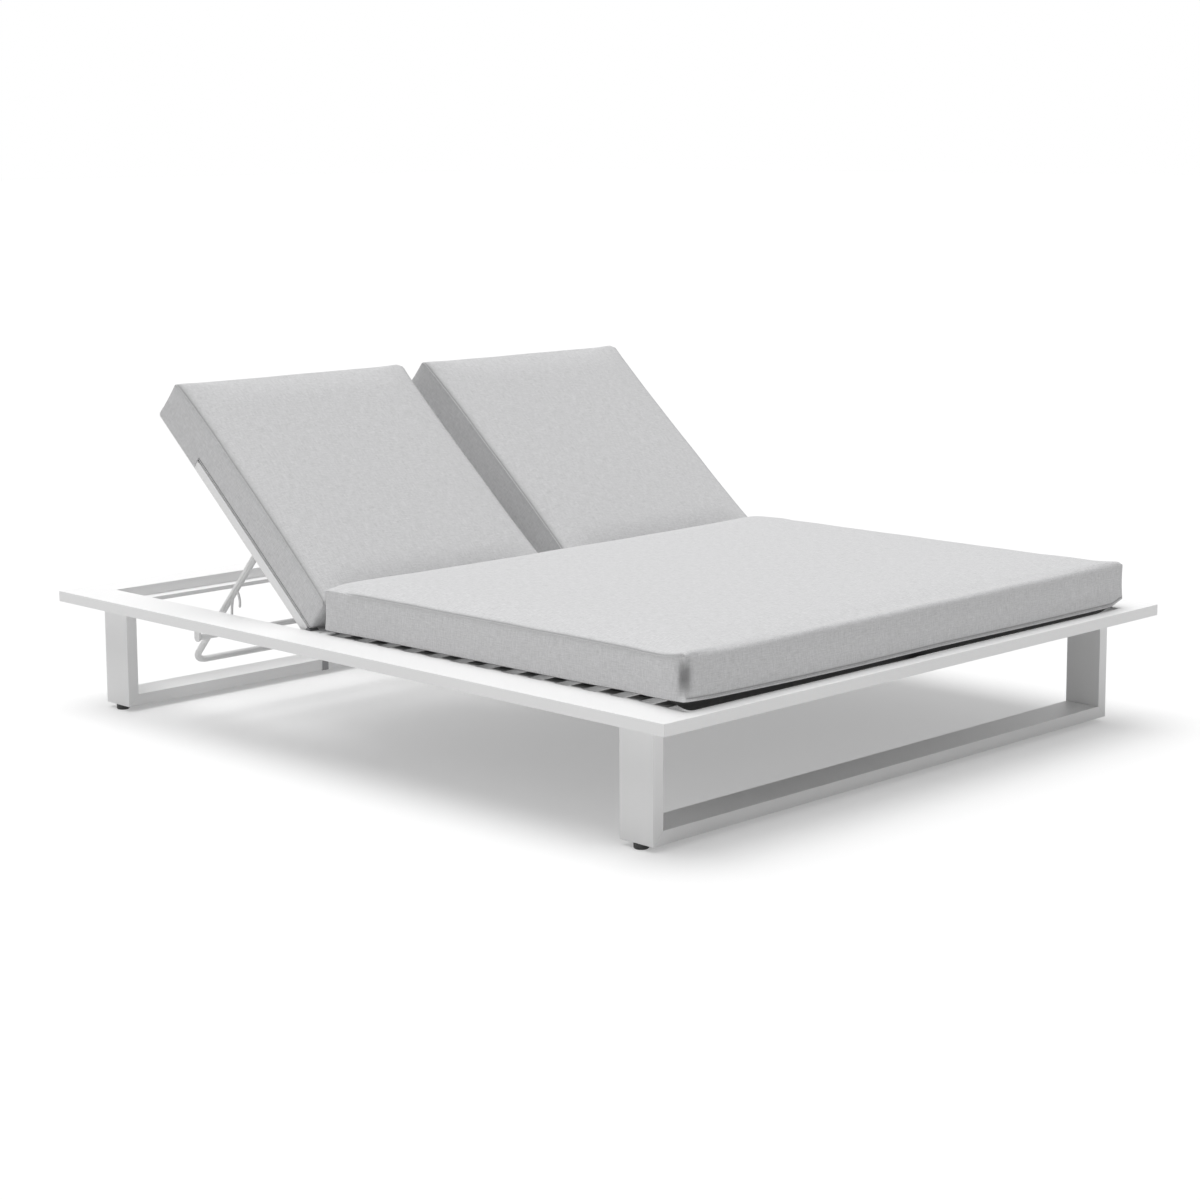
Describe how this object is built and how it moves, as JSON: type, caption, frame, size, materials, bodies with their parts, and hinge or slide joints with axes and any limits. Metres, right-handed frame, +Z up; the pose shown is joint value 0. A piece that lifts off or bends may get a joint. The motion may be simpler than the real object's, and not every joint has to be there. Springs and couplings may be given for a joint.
{
  "type": "double chaise lounger",
  "caption": "Wide flat-framed sun lounger on sled legs with a slatted deck, a seat cushion and separate reclining backrests held by notched props.",
  "frame": {"origin": "on the floor, under the middle of the frame", "axes": "+X across the width, +Y along the length from the foot end to the head end, +Z up"},
  "size_m": [1.656, 2, 0.7963],
  "materials": {
    "white_metal": "fine-textured matt powder coat on aluminium tube",
    "grey_fabric": "close woven outdoor fabric, matt",
    "grey_plastic": "moulded nylon, matt",
    "dark_plastic": "moulded, matt",
    "steel": "plain stainless"
  },
  "bodies": {
    "base": {"side_rail_left": "white_metal", "side_rail_right": "white_metal", "head_rail": "white_metal", "foot_rail": "white_metal", "head_ledge": "white_metal", "hinge_rail": "white_metal", "seat_centre_beam": "white_metal", "back_centre_beam": "white_metal", "seat_slats": "white_metal", "foot_post_left": "white_metal", "foot_post_right": "white_metal", "head_post_left": "white_metal", "head_post_right": "white_metal", "foot_sled_rail": "white_metal", "head_sled_rail": "white_metal", "glides": "dark_plastic", "sled_clip": "grey_plastic", "catch_bar_left": "white_metal", "catch_bar_right": "white_metal", "catch_hangers": "white_metal", "hinge_pins": "steel", "hinge_spacers": "grey_plastic", "seat_cushion": "grey_fabric"},
    "backrest_left": {"back_tube_outer_left": "white_metal", "back_tube_inner_left": "white_metal", "back_bottom_tube_left": "white_metal", "prop_rail_left": "white_metal", "back_top_tube_left": "white_metal", "back_slats_left": "white_metal", "hinge_knuckles_left": "grey_plastic", "prop_clevises_left": "white_metal", "prop_pins_left": "steel", "back_cushion_left": "grey_fabric", "back_hood_left": "grey_fabric"},
    "prop_left": {"prop_hoop_left": "white_metal", "claws_left": "white_metal"},
    "backrest_right": {"back_tube_outer_right": "white_metal", "back_tube_inner_right": "white_metal", "back_bottom_tube_right": "white_metal", "prop_rail_right": "white_metal", "back_top_tube_right": "white_metal", "back_slats_right": "white_metal", "hinge_knuckles_right": "grey_plastic", "prop_clevises_right": "white_metal", "prop_pins_right": "steel", "back_cushion_right": "grey_fabric", "back_hood_right": "grey_fabric"},
    "prop_right": {"prop_hoop_right": "white_metal", "claws_right": "white_metal"}
  },
  "joints": [
    {"name": "backrest_left_recline", "type": "hinge", "parent": "base", "child": "backrest_left", "pos_m": [-0.3775, 0.188, 0.2685], "axis": [1, 0, 0], "range_deg": [-40.6, 0]},
    {"name": "prop_left_swing", "type": "hinge", "parent": "backrest_left", "child": "prop_left", "pos_m": [-0.3775, 0.40949, 0.42805], "axis": [1, 0, 0], "range_deg": [0, 87.3]},
    {"name": "backrest_right_recline", "type": "hinge", "parent": "base", "child": "backrest_right", "pos_m": [0.3775, 0.188, 0.2685], "axis": [1, 0, 0], "range_deg": [-40.6, 0]},
    {"name": "prop_right_swing", "type": "hinge", "parent": "backrest_right", "child": "prop_right", "pos_m": [0.3775, 0.40949, 0.42805], "axis": [1, 0, 0], "range_deg": [0, 87.3]}
  ],
  "couplings": [
    {"joint": "prop_left_swing", "follows": "backrest_left_recline", "ratio": -2.15},
    {"joint": "prop_right_swing", "follows": "backrest_right_recline", "ratio": -2.15}
  ]
}
